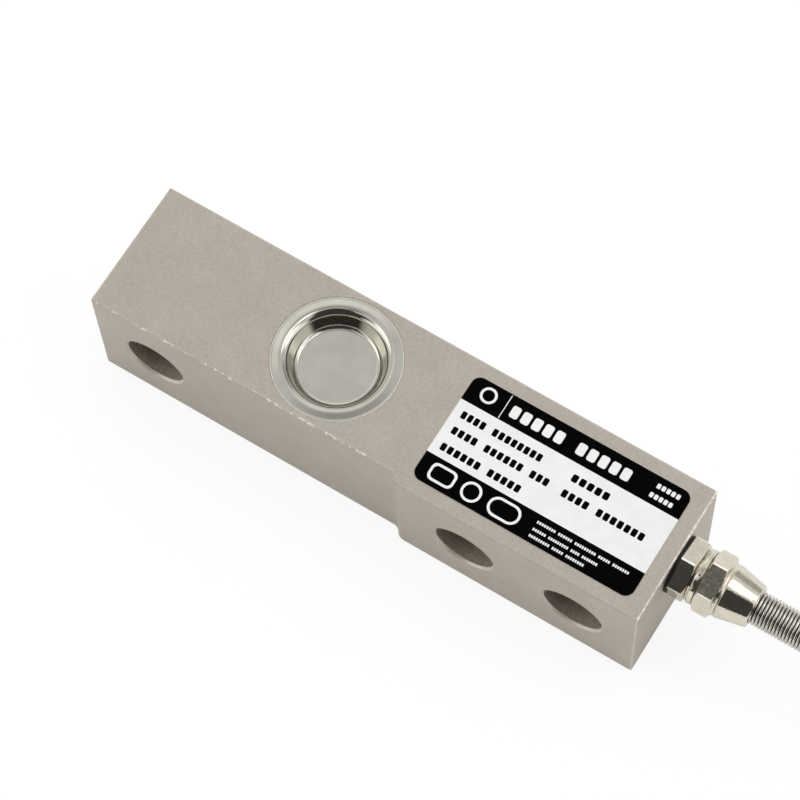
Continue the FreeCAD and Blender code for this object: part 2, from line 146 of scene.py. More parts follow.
def wornNickelWithHighlight(name, worn, dull, low, high):
    # the plate's rounded edges: worn, with a painted highlight in broken bright dashes, else the blasted finish;
    # scuffed, so half matt
    s = patternSet
    material, tree, where = startMaterial(name)
    dash = grain(tree, where, s["dashMm"], s["dashDetail"], low, high)
    scuff = grain(tree, where, s["scuffMm"])
    closeMaterial(tree, {"Metallic": s["dashMetallic"]}, (dull, worn), dash, s["dashGloss"], dash,
                  s["plateReliefMm"], scuff)
    return material


def turnedMetal(name, first, second, rough, cloudMm=2.2, dentMm=0.004, metallic=1.0):
    # bright nickel or steel: mirror-like with faint clouds and fine handling marks
    material, tree, where = startMaterial(name)
    clouds = grain(tree, where, cloudMm, patternSet["detail"])
    marks = grain(tree, where, patternSet["marksMm"], patternSet["detail"])
    closeMaterial(tree, {"Metallic": metallic}, (first, second), clouds, rough, marks, dentMm, clouds)
    return material


def plainFinish(name, first, second, sizeMm, rough, reliefMm, settings):
    # moulded, printed or coated material: two near tones in blotches of a real size, with its own gloss
    material, tree, where = startMaterial(name)
    blotch = grain(tree, where, sizeMm, patternSet["detail"])
    closeMaterial(tree, settings, (first, second), blotch, rough, blotch, reliefMm, blotch)
    return material


finish = {
    # blasted plate: satin and warm grey; inside the holes browner and duller, with painted shade darkening the bores
    "beam": blastedNickel("nickelPlatedSteelBlasted", "#B6AEA3", "#C9C1B6", 0.52),
    "bore": blastedNickel("nickelPlatedBorePaintedShade", "#8E8175", "#B7AA9E", 0.6, 0.4),
    # edges of the plate: painted highlight in bright dashes over wear, a painted highlight line, hardly seen, and an
    # evenly pale painted highlight
    "edge": wornNickelWithHighlight("nickelPlatedEdgeWornHighlight", "#EDE6DA", "#C0B7AB", 0.53, 0.63),
    # a painted highlight line along the top edge over the gland
    "edgeHighlightLine": wornNickelWithHighlight("nickelPlatedEdgeHighlightLine", "#EDE6DA", "#CBC2B6", 0.42, 0.62),
    "edgeQuiet": blastedNickel("nickelPlatedEdge", "#B4ABA0", "#C4BBB0", 0.6, 0.35),
    # evenly pale painted highlight on the hole chamfers and the upright edge in front of the gland
    "edgeBright": blastedNickel("nickelPlatedEdgePaintedHighlight", "#C6BDB2", "#D6CEC3", 0.45, 0.6),
    # drawn stainless sheet: a cool mirror, with a pale, soft painted highlight along its trimmed edge
    "cup": turnedMetal("stainlessSteelDrawn", "#BDBBB0", "#C7C5BB", (0.06, 0.10), 6.0, 0.002),
    "cupEdge": turnedMetal("stainlessSteelRimHighlight", "#DAD7CF", "#E4E1DA", (0.3, 0.4), metallic=0.3),
    # turned brass under nickel: a creamy, slightly wavy mirror whose rounded corners carry a near-white painted
    # highlight
    "gland": turnedMetal("nickelPlatedBrass", "#D6CFBE", "#E1DACA", (0.08, 0.14), 1.7, 0.03),
    "glandEdge": turnedMetal("nickelPlatedBrassEdgeHighlight", "#F8F5EC", "#FEFCF6", (0.3, 0.4), metallic=0.25),
    # drawn wire: bright steel on the spring, greyer tin on the bare copper
    "spring": turnedMetal("springSteelBright", "#BCB8B0", "#D8D4CC", (0.07, 0.12), 1.2),
    "tinned": turnedMetal("tinnedCopperWire", "#C9C7C2", "#DBD9D4", (0.28, 0.4), 0.5),
    # printed film: soft white with matt, dense inks
    "film": plainFinish("polyesterFilmWhite", "#E6E6E6", "#EBEBEA", 3.0, (0.35, 0.45), 0.001,
                        {"Specular IOR Level": 0.3}),
    "ink": plainFinish("printedInkBlack", "#010101", "#050505", 0.6, (0.5, 0.62), 0.001,
                       {"Specular IOR Level": 0.02}),
    "pale": plainFinish("printedInkPale", "#E6E6E4", "#ECECEA", 5.0, (0.5, 0.6), 0.0005,
                        {"Specular IOR Level": 0.1}),
    # rubber and plastics of the cable: near black with a soft sheen
    "rubber": plainFinish("nitrileRubberMoulded", "#0E0D0C", "#1B1A18", 0.5, (0.5, 0.65), 0.01,
                          {"Specular IOR Level": 0.35}),
    "jacket": plainFinish("softVinylJacketExtruded", "#2B2C2D", "#343536", 1.2, (0.38, 0.5), 0.01, {"IOR": 1.53}),
    "strap": plainFinish("nylonStrapMoulded", "#16171A", "#222326", 0.5, (0.42, 0.55), 0.012, {"IOR": 1.53}),
    # inside the beam: amber foil, milky coating, green board, black chips
    "gaugeFoil": plainFinish("polyimideGaugeFoil", "#B4762A", "#C98F3C", 0.4, (0.3, 0.45), 0.003, {"IOR": 1.7}),
    "silicone": plainFinish("siliconeCoating", "#D9D6CC", "#E6E3DA", 1.5, (0.3, 0.45), 0.02, {"IOR": 1.41}),
    "board": plainFinish("glassEpoxyBoard", "#1F5B36", "#2A6B42", 0.5, (0.35, 0.5), 0.004, {"IOR": 1.55}),
    "chip": plainFinish("ceramicChipBody", "#1A1A1C", "#262629", 0.3, (0.4, 0.55), 0.003, {"IOR": 1.5}),
}
wireTones = {"red": ("#B3201C", "#C12A24"), "black": ("#151517", "#1E1E20"),
             "green": ("#1C7A3A", "#258744"), "white": ("#DEDDD8", "#E8E7E2")}
for colour, (first, second) in wireTones.items():                     # smooth, lightly glossy vinyl
    finish[colour] = plainFinish("vinylWire" + colour.capitalize(), first, second, 0.8, (0.35, 0.45), 0.004,
                                 {"IOR": 1.53})
print("materials made")


# Hand modelling helpers
def clearSelection():
    if bpy.context.object and bpy.context.object.mode != "OBJECT":
        bpy.ops.object.mode_set(mode="OBJECT")
    bpy.ops.object.select_all(action="DESELECT")


def takeUp(piece):
    clearSelection()
    piece.select_set(True)
    bpy.context.view_layer.objects.active = piece


def nameNew(name):                        # the primitive just added, with its place put into its mesh
    piece = bpy.context.object
    piece.name = name
    piece.data.name = name
    bpy.ops.object.transform_apply(location=True, rotation=True, scale=True)
    return piece


def unpickAll(piece, kind):               # leaves faces or edges ready to be picked
    takeUp(piece)
    bpy.ops.object.mode_set(mode="EDIT")
    bpy.ops.mesh.select_mode(type=kind)
    bpy.ops.mesh.select_all(action="DESELECT")
    bpy.ops.object.mode_set(mode="OBJECT")


def pickFaces(piece, test):
    unpickAll(piece, "FACE")
    for face in piece.data.polygons:
        face.select = test(face.center, face.normal)
    bpy.ops.object.mode_set(mode="EDIT")


def pickEdges(piece, test):
    unpickAll(piece, "EDGE")
    points = piece.data.vertices
    for edge in piece.data.edges:
        edge.select = test(points[edge.vertices[0]].co, points[edge.vertices[1]].co)
    bpy.ops.object.mode_set(mode="EDIT")


def applyModifier(piece, kind, settings):
    takeUp(piece)
    modifier = piece.modifiers.new(kind.lower(), kind)
    for key, value in settings.items():
        setattr(modifier, key, value)
    bpy.ops.object.modifier_apply(modifier=modifier.name)


def joinShape(piece, tool, operation):    # a Boolean with another shape, which is used up
    applyModifier(piece, "BOOLEAN", {"operation": operation, "solver": "EXACT", "object": tool})
    bpy.data.objects.remove(tool)


def roundedChain(corners, steps):         # (a, b, radius) corners of a profile, turned to points with arcs
    points = []
    for index, (a, b, radius) in enumerate(corners):
        here = Vector((a, b))
        if radius == 0 or index in (0, len(corners) - 1):
            points.append(here)
            continue
        back = (Vector(corners[index - 1][:2]) - here).normalized()
        ahead = (Vector(corners[index + 1][:2]) - here).normalized()
        half = back.angle(ahead) / 2
        reach = radius / math.tan(half)
        centre = here + (back + ahead).normalized() * (radius / math.sin(half))
        start = here + back * reach - centre
        sweep = start.angle_signed(here + ahead * reach - centre)
        for step in range(steps + 1):
            turned = start.copy()
            turned.rotate(Matrix.Rotation(-sweep * step / steps, 2))
            points.append(centre + turned)
    return points


def barProfile(start, end, radius):       # a plain solid cylinder
    return [(start, 0), (start, radius), (end, radius), (end, 0)]


def turnProfile(name, profile, place, axis, steps=96):    # (along, radius) in mm, lathe-turned about axis
    clearSelection()
    along = Vector({"X": (1, 0, 0), "Y": (0, 1, 0), "Z": (0, 0, 1)}[axis])
    out = Vector({"X": (0, 0, 1), "Y": (0, 0, 1), "Z": (1, 0, 0)}[axis])
    path = [place + (along * a + out * r) * mm for a, r in profile]
    bpy.ops.mesh.primitive_plane_add(size=mm, location=path[0])
    piece = nameNew(name)
    bpy.ops.object.mode_set(mode="EDIT")
    bpy.ops.mesh.select_mode(type="VERT")
    bpy.ops.mesh.select_all(action="SELECT")
    bpy.ops.mesh.merge(type="CENTER")
    for before, after in zip(path, path[1:]):
        bpy.ops.mesh.extrude_vertices_move(TRANSFORM_OT_translate={"value": after - before})
    bpy.ops.mesh.select_all(action="SELECT")
    bpy.ops.mesh.spin(steps=steps, angle=2 * math.pi, center=place, axis=along)
    bpy.ops.mesh.select_all(action="SELECT")
    bpy.ops.mesh.remove_doubles(threshold=weld * mm)
    bpy.ops.mesh.normals_make_consistent(inside=False)
    bpy.ops.object.mode_set(mode="OBJECT")
    return piece


def finishPiece(piece, materials, node, angle=30, weighted=True):
    takeUp(piece)
    kept = [face.material_index for face in piece.data.polygons]
    piece.data.materials.clear()
    for material in materials:
        piece.data.materials.append(material)
    bpy.ops.object.shade_smooth_by_angle(angle=math.radians(angle))
    if weighted:
        applyModifier(piece, "WEIGHTED_NORMAL", {"keep_sharp": True})
    for face, index in zip(piece.data.polygons, kept):
        face.material_index = index
    if node:
        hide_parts(node)
    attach(piece, "root")


# Cable: the route's points from the part's source, then the turns of the hank
cableSet = {
    "diameter": 5.2, "springEnd": 173.4,
    "route": [(155.0, 1.0, 25.0), (158.0, 1.0, 25.0), (189.5, 1.0, 25.0), (214.0, 12.4, 3.4),
              (238.0, 12.4, 3.4)],
    "near": 253.0, "far": 298.0, "hankY": -8.4, "lanes": {"outer": 20.8, "inner": 15.6}, "floor": 3.4,
    "order": ["outer", "inner", "inner", "outer"], "turns": 14, "jacketEnd": 290.0, "length": 2.87,
    "foldHalf": 22.5, "farFold": (67.5, 22.5, -22.5, -67.5),                    # degrees
    "nearFold": ((-112.5, 0.08), (-157.5, 0.36), (157.5, 0.64), (112.5, 0.92)),   # with the share of the climb
    "curveSteps": 6, "sideSteps": 4,
}


def hankTurn(index):                      # lane radius and height of one turn of the hank
    order = cableSet["order"]
    lane = cableSet["lanes"][order[index % len(order)]]
    return lane, cableSet["floor"] + cableSet["diameter"] * (index // 2)


def foldPoint(end, lane, angle, height):  # a fold's half circle is drawn by the octagon round it
    reach = lane / math.cos(math.radians(cableSet["foldHalf"]))
    turn = math.radians(angle)
    return end + reach * math.cos(turn), cableSet["hankY"] + reach * math.sin(turn), height


def hankPoints():
    near, far, hankY = cableSet["near"], cableSet["far"], cableSet["hankY"]
    foldTan = math.tan(math.radians(cableSet["foldHalf"]))
    points = []
    for index in range(cableSet["turns"]):
        lane, height = hankTurn(index)
        nextLane, nextHeight = hankTurn(index + 1)
        points.append((near + foldTan * lane, hankY + lane, height))
        points.append((far - foldTan * lane, hankY + lane, height))
        points += [foldPoint(far, lane, angle, height) for angle in cableSet["farFold"]]
        if index == cableSet["turns"] - 1:
            points.append((cableSet["jacketEnd"], hankY - lane, height))
            break
        points.append((far - foldTan * lane, hankY - lane, height))
        points.append((near + foldTan * lane, hankY - lane, height))
        for angle, share in cableSet["nearFold"]:                     # on to the next turn
            level = height + (nextHeight - height) * share
            points.append(foldPoint(near, lane + (nextLane - lane) * share, angle, level))
    return points


def makeCable():
    curve = bpy.data.curves.new("cableLead", "CURVE")
    curve.dimensions = "3D"
    spline = curve.splines.new("NURBS")
    points = cableSet["route"] + hankPoints()
    spline.points.add(len(points) - 1)
    for point, place in zip(spline.points, points):
        point.co = (*at(*place), 1.0)
    spline.order_u = 3
    spline.use_endpoint_u = True
    spline.resolution_u = cableSet["curveSteps"]
    curve.bevel_depth = cableSet["diameter"] / 2 * mm
    curve.bevel_resolution = cableSet["sideSteps"]
    curve.use_fill_caps = True
    piece = bpy.data.objects.new("cableLead", curve)
    bpy.context.scene.collection.objects.link(piece)
    curve.materials.append(finish["jacket"])
    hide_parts("cable", "cable_hank")
    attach(piece, "root")
    return piece


tieSet = {"station": 275.5, "width": 5.0, "outerHalf": 6.1, "centres": (9.8, -26.6), "top": 38.1, "wall": 0.8,
          "corner": 2.4, "cornerSteps": 6, "edge": 0.2, "edgeSteps": 2}


def makeTie(name, centreY):
    s = tieSet
    clearSelection()
    size = Vector((s["width"], 2 * s["outerHalf"], s["top"])) * mm
    bpy.ops.mesh.primitive_cube_add(size=1, location=at(s["station"], centreY, s["top"] / 2), scale=size)
    tie = nameNew(name)
    pickFaces(tie, lambda centre, normal: abs(normal.x) > squareOn)
    bpy.ops.mesh.delete(type="FACE")
    pickEdges(tie, lambda a, b: abs(a.y - b.y) + abs(a.z - b.z) < nearly)
    bpy.ops.mesh.bevel(offset=s["corner"] * mm, segments=s["cornerSteps"], profile=0.5)
    applyModifier(tie, "SOLIDIFY", {"thickness": s["wall"] * mm, "offset": -1.0})
    applyModifier(tie, "BEVEL", {"width": s["edge"] * mm, "segments": s["edgeSteps"], "limit_method": "ANGLE",
                                 "angle_limit": bevelFrom})
    finishPiece(tie, [finish["strap"]], "hank_ties")
    return tie


leadSet = {"far": 290.0, "near": 258.0, "strip": 5.0, "radius": 0.5, "core": 0.34, "tipEdge": 0.08, "cutEdge": 0.06,
           "steps": 20, "colours": ("red", "black", "green", "white", "drain")}


def makeLeads():
    s = leadSet
    length = s["far"] - s["near"]
    tip, strip, radius, tipEdge, cutEdge = s["core"], s["strip"], s["radius"], s["tipEdge"], s["cutEdge"]
    profile = [(0, 0), (0, tip - tipEdge), (tipEdge, tip), (strip, tip), (strip, radius - cutEdge),
               (strip + cutEdge, radius), (length, radius), (length, 0)]
    leads = []
    for colour in s["colours"]:
        low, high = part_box("flying_lead_" + colour)
        place = (low + high) / 2
        place.x = low.x
        lead = turnProfile("flyingLead" + colour.capitalize(), profile, place, "X", s["steps"])
        for face in lead.data.polygons:                               # the stripped tip
            face.material_index = 1 if face.center.x < place.x + strip * mm else 0
        main = finish["tinned"] if colour == "drain" else finish[colour]
        finishPiece(lead, [main, finish["tinned"]], "flying_lead_" + colour)
        leads.append(lead)
    return leads


cable = makeCable()
cablePieces = [makeTie("hankTieInner", tieSet["centres"][1]), makeTie("hankTieOuter", tieSet["centres"][0])]
cablePieces += makeLeads()
print("cable, ties and leads made")


# Beam body: stepped block with rounded edges, bolt holes, gauge pockets and the cable port
beamSet = {
    "length": 130.0, "height": 31.8, "loadedFace": -13.9, "padFace": -15.9, "backFace": 15.9,
    "padStart": 71.9, "padRun": 3.4, "padSteps": 8, "arcShare": 0.999, "edgeRound": 0.4, "edgeSteps": 3,
    "holes": (13.9, 90.1, 115.5), "holeRadius": 6.75, "holeChamfer": 0.5, "holeZ": 15.9, "holeSlack": 0.05,
    "pocketStation": 50.1, "pocketY": 1.0, "pocket": [(0.8, 13.74), (0.8, 12.2), (3.7, 9.6)],
    "web": (13.9, 17.9), "leadHole": (57.5, 1.5), "port": (122.0, 4.0), "passage": 1.7, "portY": 1.0, "portZ": 25.0,
    "over": 1.0, "wideSteps": 80, "portSteps": 48, "leadSteps": 32,
    "finishes": ("beam", "edge", "bore", "edgeHighlightLine", "edgeBright", "edgeQuiet"),
}


def beamBlank():
    s = beamSet
    clearSelection()
    middle = at(s["length"] / 2, (s["loadedFace"] + s["backFace"]) / 2, s["height"] / 2)
    size = Vector((s["length"], s["backFace"] - s["loadedFace"], s["height"])) * mm
    bpy.ops.mesh.primitive_cube_add(size=1, location=middle, scale=size)
    beam = nameNew("beamBody")
    rise = s["loadedFace"] - s["padFace"]
    slope = math.atan2(rise, s["padRun"])
    arcRadius = rise / 2 / (1 - math.cos(2 * slope))
    reach = arcRadius * math.tan(slope)                               # from each arc's end to its steep line
    foot = loadedEnd + (s["padStart"] + reach) * mm
    head = loadedEnd + (s["padStart"] + s["padRun"] - reach) * mm
    for station in (foot, head):
        bpy.ops.object.mode_set(mode="EDIT")
        bpy.ops.mesh.select_all(action="SELECT")
        bpy.ops.mesh.bisect(plane_co=(station, 0, 0), plane_no=(1, 0, 0))
    pickFaces(beam, lambda centre, normal: normal.y < -squareOn and centre.x > head)
    bpy.ops.transform.translate(value=(0, -rise * mm, 0))
    bends = (Vector((foot, s["loadedFace"] * mm)), Vector((head, s["padFace"] * mm)))
    upright = s["height"] * mm / 2
    pickEdges(beam, lambda a, b: abs(a.z - b.z) > upright and any((a.xy - bend).length < nearly for bend in bends))
    bpy.ops.mesh.bevel(offset=reach * mm * s["arcShare"], segments=s["padSteps"], profile=0.5, clamp_overlap=False)
    bpy.ops.object.mode_set(mode="OBJECT")
    beam.data.materials.append(finish["beam"])
    beam.data.materials.append(finish["edge"])
    applyModifier(beam, "BEVEL", {"width": s["edgeRound"] * mm, "segments": s["edgeSteps"], "limit_method": "ANGLE",
                                  "angle_limit": bevelFrom, "material": 1})
    return beam


def beamCuts(beam):
    s = beamSet
    radius, chamfer, over, back = s["holeRadius"], s["holeChamfer"], s["over"], s["backFace"]
    wide = radius + chamfer + over
    for station in s["holes"]:
        mouth = s["padFace"] if station > s["padStart"] else s["loadedFace"]
        profile = [(mouth - over, 0), (mouth - over, wide), (mouth + chamfer, radius), (back - chamfer, radius),
                   (back + over, wide), (back + over, 0)]
        cutter = turnProfile("holeCutter", profile, at(station, 0, s["holeZ"]), "Y", s["wideSteps"])
        joinShape(beam, cutter, "DIFFERENCE")
    seat, inner = s["pocket"][0][1], s["pocket"][-1][1]
    for side, floorLevel, turn in ((s["height"], s["web"][1], -1), (0.0, s["web"][0], 1)):
        depth = turn * abs(side - floorLevel)
        profile = [(-turn * over, 0), (-turn * over, seat)] + [(turn * down, r) for down, r in s["pocket"]]
        profile += [(depth, inner), (depth, 0)]
        middle = at(s["pocketStation"], s["pocketY"], side)
        joinShape(beam, turnProfile("pocketCutter", profile, middle, "Z", s["wideSteps"]), "DIFFERENCE")
    station, leadRadius = s["leadHole"]
    profile = barProfile(s["web"][0] - over, s["web"][1] + over, leadRadius)
    cutter = turnProfile("leadCutter", profile, at(station, s["pocketY"], 0), "Z", s["leadSteps"])
    joinShape(beam, cutter, "DIFFERENCE")
    portStart, portRadius = s["port"]
    start = s["pocketStation"] + inner - over
    end = s["length"] + over
    profile = [(start, 0), (start, s["passage"]), (portStart, s["passage"]), (portStart, portRadius),
               (end, portRadius), (end, 0)]
    cutter = turnProfile("portCutter", profile, at(0, s["portY"], s["portZ"]), "X", s["portSteps"])
    joinShape(beam, cutter, "DIFFERENCE")


def beamFinish(face):                     # faces of the rounded edges come with index 1
    s = beamSet
    place, facing = face.center, abs(face.normal.y)
    holes = [at(station, 0, s["holeZ"]) for station in s["holes"]]
    spread = min(math.hypot(place.x - hole.x, place.z - hole.z) for hole in holes)
    rim = at(s["length"] - s["edgeRound"], s["loadedFace"] + s["edgeRound"], s["height"] - s["edgeRound"])
    # the bore walls take the darker, browner painted shade
    if facing < edgeOn and spread < (s["holeRadius"] + s["holeSlack"]) * mm:
        return "bore"
    # hole chamfers: evenly pale painted highlight
    if slanting < facing < squareOn and spread < (s["holeRadius"] + s["holeChamfer"]) * mm:
        return "edgeBright"
    if face.material_index == 0:
        return "beam"
    # the top edge over the gland: a painted highlight line
    if place.z > rim.z and place.x > rim.x:                           # over the gland
        return "edgeHighlightLine"
    # the upright edge in front of the gland: evenly pale painted highlight
    if place.x > rim.x and face.normal.y < -edgeOn:                   # upright, in front of the gland
        return "edgeBright"
    inFront = place.z > rim.z and place.y < rim.y and place.x < at(s["padStart"], 0, 0).x
    # the bright dashes are a painted highlight on the worn edges
    return "edge" if inFront else "edgeQuiet"                         # in dashes only in front, up to the pad


def makeBeam():
    beam = beamBlank()
    beamCuts(beam)
    names = beamSet["finishes"]
    for face in beam.data.polygons:
        face.material_index = names.index(beamFinish(face))
    finishPiece(beam, [finish[name] for name in names], "beam_body")


makeBeam()
print("beam made")


# Sealing cups: thin drawn stainless dishes welded over the gauge pockets; corners as radius, depth and bend
cupSet = {
    "upper": [(0.0, 4.0, 0.0), (8.75, 4.0, 1.3), (10.6, -0.36, 2.0), (13.15, 0.0, 0.3), (13.7, 0.0, 0.2)],
    "lower": [(13.7, 0.55, 0.0), (10.95, 0.25, 1.4), (9.08, 4.5, 1.8), (0.0, 4.5, 0.0)],
    "crest": 0.17, "trim": 13.36, "bendSteps": 12, "steps": 128, "smooth": 35,
}


def makeCup(name, node, height, turn):    # turn is 1 for a cup that opens upwards, -1 downwards
    s = cupSet
    corners = [(turn * -depth, radius, bend) for radius, depth, bend in s["upper"] + s["lower"]]
    centre = at(beamSet["pocketStation"], beamSet["pocketY"], height)
    cup = turnProfile(name, roundedChain(corners, s["bendSteps"]), centre, "Z", s["steps"])
    # the trimmed and welded outer edge carries a painted highlight
    for face in cup.data.polygons:                                    # the trimmed and welded outer edge
        face.material_index = 1 if (face.center - centre).xy.length > s["trim"] * mm else 0
    finishPiece(cup, [finish["cup"], finish["cupEdge"]], node, s["smooth"])


makeCup("sealingCupFront", "front_sealing_cup", beamSet["height"], 1)
makeCup("sealingCupRear", "rear_sealing_cup", cupSet["crest"], -1)
print("cups made")


# Rating label: film with a black band along each long edge and plain bars of print
labelSet = {
    "start": 76.1, "length": 50.2, "half": 12.7, "thick": 0.15, "corner": 2.0, "cornerSteps": 8,
    "bands": (6.55, -6.54), "proud": 0.02, "share": 0.74, "stroke": 0.55,
    "blockCorner": 0.25, "blockSteps": 3, "ringFrom": 0.4, "ringSteps": 8,
    # rows: left edge, middle, length, height and the blocks in each group
    "darkRows": [(1.9, 3.7, 19.0, 1.7, (4, 8)), (2.0, -0.1, 22.7, 1.7, (4, 6, 3)),
                 (1.9, -4.2, 18.7, 1.7, (6, 5)), (27.7, 3.5, 8.9, 1.7, (5,)), (27.6, -0.3, 19.1, 1.7, (4, 7))],
    "paleRows": [(10.0, 9.5, 28.2, 2.7, (5, 5)), (43.0, 10.7, 5.5, 1.1, (5,)), (42.6, 8.4, 5.4, 1.1, (5,)),
                 (26.6, -8.2, 21.0, 0.6, (8, 6, 9, 5, 7)), (26.6, -9.9, 14.8, 0.6, (6, 9, 4, 7)),
                 (26.6, -11.4, 12.6, 0.6, (9, 5, 8))],
    # rings: left edge, middle, length, height and the corner's share of the height
    "rings": [(2.7, 9.9, 3.6, 3.6, 0.48), (2.6, -9.6, 5.8, 4.0, 0.3), (10.0, -9.6, 4.4, 4.4, 0.48),
              (16.2, -9.6, 7.2, 4.4, 0.48)],
    "divider": (8.5, 9.6, 0.18, 5.6),
}


def makeLabel():
    s = labelSet
    clearSelection()
    middle = at(s["start"] + s["length"] / 2, 0, beamSet["height"] + s["thick"] / 2)
    size = Vector((s["length"], 2 * s["half"], s["thick"])) * mm
    bpy.ops.mesh.primitive_cube_add(size=1, location=middle, scale=size)
    label = nameNew("ratingLabel")
    pickEdges(label, lambda a, b: (a.xy - b.xy).length < nearly)
    bpy.ops.mesh.bevel(offset=s["corner"] * mm, segments=s["cornerSteps"], profile=0.5)
    for band in s["bands"]:
        bpy.ops.mesh.select_all(action="SELECT")
        bpy.ops.mesh.bisect(plane_co=(0, band * mm, 0), plane_no=(0, 1, 0))
    bpy.ops.object.mode_set(mode="OBJECT")
    for face in label.data.polygons:
        inked = face.center.y > s["bands"][0] * mm or face.center.y < s["bands"][1] * mm
        face.material_index = 1 if inked and face.normal.z > -slanting else 0
    finishPiece(label, [finish["film"], finish["ink"]], "rating_label")


def printBlock(x, y, length, height, corner=labelSet["blockCorner"], rise=1.0):    # x from the label's left edge
    s = labelSet
    clearSelection()
    middle = at(s["start"] + x + length / 2, y, beamSet["height"] + s["thick"])
    size = Vector((length, height, 2 * rise * s["proud"])) * mm
    bpy.ops.mesh.primitive_cube_add(size=1, location=middle, scale=size)
    block = nameNew("printBlock")
    pickEdges(block, lambda a, b: (a.xy - b.xy).length < nearly)
    steps = s["blockSteps"] if corner < s["ringFrom"] else s["ringSteps"]
    bpy.ops.mesh.bevel(offset=min(length, height) * corner * mm, segments=steps, profile=0.5)
    bpy.ops.object.mode_set(mode="OBJECT")
    return block


def printRow(x, y, length, height, words):    # blocks in groups, one place left free between groups
    pitch = length / (sum(words) + len(words) - 1)
    groups = []
    for count in words:
        group = printBlock(x, y, pitch * labelSet["share"], height)
        applyModifier(group, "ARRAY", {"count": count, "use_relative_offset": False,
                                       "use_constant_offset": True,
                                       "constant_offset_displace": (pitch * mm, 0, 0)})
        groups.append(group)
        x += pitch * (count + 1)
    return groups


def printRing(x, y, length, height, corner):
    stroke = labelSet["stroke"]
    ring = printBlock(x, y, length, height, corner)
    hole = printBlock(x + stroke, y, length - 2 * stroke, height - 2 * stroke, corner, 2.0)
    joinShape(ring, hole, "DIFFERENCE")
    return ring


def joinBars(name, bars, material):
    clearSelection()
    for bar in bars:
        bar.select_set(True)
    bpy.context.view_layer.objects.active = bars[0]
    bpy.ops.object.join()
    piece = nameNew(name)
    finishPiece(piece, [material], None, weighted=False)


makeLabel()
joinBars("labelPrintDark", [group for row in labelSet["darkRows"] for group in printRow(*row)], finish["ink"])
pale = [group for row in labelSet["paleRows"] for group in printRow(*row)]
pale += [printRing(*ring) for ring in labelSet["rings"]]
joinBars("labelPrintPale", pale + [printBlock(*labelSet["divider"])], finish["pale"])
print("label made")


# Cable gland: washer, body with hexagon, dome nut; all turned about the gland's axis
glandSet = {
    "y": 1.0, "z": 25.0, "face": 130.0, "edge": 0.25, "edgeSteps": 3, "flatArea": 8.0, "smooth": 18,
    "over": 1.0, "slack": 0.001,
    "washer": {"outer": 6.35, "bore": 4.0, "thick": 0.8, "round": 0.15, "roundSteps": 4, "steps": 72},
    "body": {"stub": 122.4, "stubRadius": 3.95, "bore": 2.8, "hexStart": 130.8, "hexEnd": 134.4, "across": 12.0,
             "turn": 38.0, "run": 0.7, "inset": 0.3, "ring": 4.4, "shoulder": 0.4, "threadRadius": 4.9,
             "threadEnd": 139.4, "pocket": 4.0, "pocketStart": 135.7},
    "nut": {"start": 134.7, "collar": 6.05, "collarRound": 0.3, "collarFoot": 0.1, "collarEnd": 136.0,
            "hexEnd": 140.4, "across": 12.0, "turn": 18.0, "run": 0.7, "inset": 0.3, "ring": 5.3,
            "base": 5.9, "sink": 0.3, "tuck": 0.2, "groove": 0.25, "grooveAt": 140.8, "grooveRun": 0.3,
            "grooveRound": 0.1, "coneStart": 141.2, "coneRound": 0.15, "coneEnd": 147.6, "lip": 4.6, "lipRound": 0.4,
            "mouth": 3.75, "mouthRound": 0.15, "mouthStart": 146.4, "cavity": 4.2, "cavityStart": 140.2,
            "thread": 4.95, "roundSteps": 5},
}


def turnOnAxis(name, profile, steps=96):
    return turnProfile(name, profile, at(0, glandSet["y"], glandSet["z"]), "X", steps)


def hexagonBar(name, start, end, across, turn, envelope):     # a hexagon bar with its end corners turned off
    clearSelection()
    radius = across / math.sqrt(3) * mm
    middle = at((start + end) / 2, glandSet["y"], glandSet["z"])
    bpy.ops.mesh.primitive_cylinder_add(vertices=6, radius=radius, depth=(end - start) * mm, location=middle,
                                        rotation=(0, math.radians(90), 0))
    bar = nameNew(name)
    sides = [face.normal for face in bar.data.polygons if abs(face.normal.x) < edgeOn]
    flat = max(sides, key=lambda normal: normal.z)
    now = math.degrees(math.atan2(-flat.y, flat.z))
    spin = Quaternion((1, 0, 0), math.radians(turn - now))
    for point in bar.data.vertices:
        point.co = middle + spin @ (point.co - middle)
    bar.data.materials.append(finish["gland"])
    bar.data.materials.append(finish["glandEdge"])
    pickEdges(bar, lambda a, b: abs(a.x - b.x) > (end - start) * mm / 2)       # the six long corners
    # the rounded corners take the painted highlight
    bpy.ops.mesh.bevel(offset=glandSet["edge"] * mm, segments=glandSet["edgeSteps"], profile=0.5, material=1)
    bpy.ops.object.mode_set(mode="OBJECT")
    joinShape(bar, turnOnAxis("hexagonEnvelope", envelope), "INTERSECT")
    return bar


# the rounded corners' near-white colour is a painted highlight
def finishHexagon(piece, node):           # its rounded corners catch the light and its flats mirror as planes
    finishPiece(piece, [finish["gland"], finish["glandEdge"]], node, glandSet["smooth"], False)
    for face in piece.data.polygons:
        face.use_smooth = face.area < glandSet["flatArea"] * mm * mm


def makeWasher():
    w = glandSet["washer"]
    near = glandSet["face"]
    far = near + w["thick"]
    corners = [(near, w["bore"], 0), (near, w["outer"], w["round"]), (far, w["outer"], w["round"]),
               (far, w["bore"], 0), (near, w["bore"], 0)]
    washer = turnOnAxis("glandWasher", roundedChain(corners, w["roundSteps"]), w["steps"])
    finishPiece(washer, [finish["rubber"]], "gland_sealing_washer")


